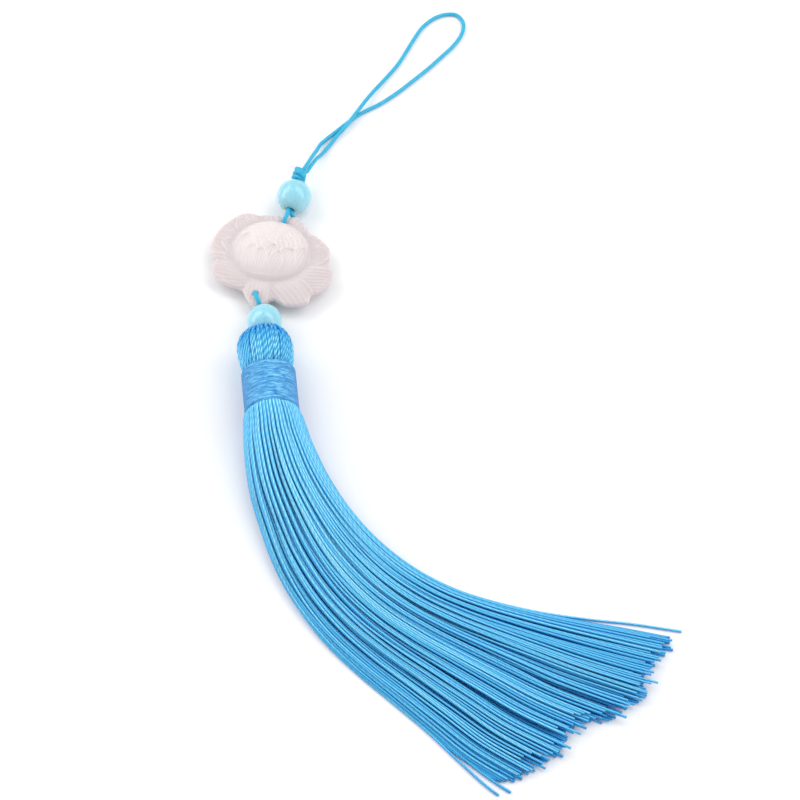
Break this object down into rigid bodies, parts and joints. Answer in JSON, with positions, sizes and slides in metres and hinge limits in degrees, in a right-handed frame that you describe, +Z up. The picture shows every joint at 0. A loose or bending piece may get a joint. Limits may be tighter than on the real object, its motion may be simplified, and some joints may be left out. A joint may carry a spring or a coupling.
{
  "type": "jade tassel pendant",
  "caption": "Carved stone flower strung between round glass beads on a thin cord, with a hanging loop above and a long thread tassel below.",
  "frame": {"origin": "on the surface below, under the middle of the pendant's box without its hanging loop", "axes": "+Z up from the surface it lies on, +Y from the tassel's skirt towards the hanging loop, +X to the right seen from the front"},
  "size_m": [0.102, 0.204, 0.0126],
  "materials": {
    "loop_cord": "tightly braided cyan nylon cord with a slight sheen",
    "knot_cord": "the same braided nylon cord, knotted tight",
    "tie_cord": "braided cyan nylon cord",
    "bead_glass": "polished milky aqua glass with soft highlights",
    "carved_stone": "milky white translucent stone, carved and left frosted",
    "tassel_thread": "shiny sky blue twisted silk thread",
    "wrap_thread": "fine blue thread wound round and round"
  },
  "bodies": {
    "root": {"hanging_loop": "loop_cord", "stop_knot": "knot_cord", "upper_bead": "bead_glass", "upper_tie": "tie_cord", "carved_flower": "carved_stone", "lower_tie": "tie_cord", "lower_bead": "bead_glass", "tassel_head": "tassel_thread", "neck_wrap": "wrap_thread", "tassel_skirt": "tassel_thread"}
  },
  "joints": []
}
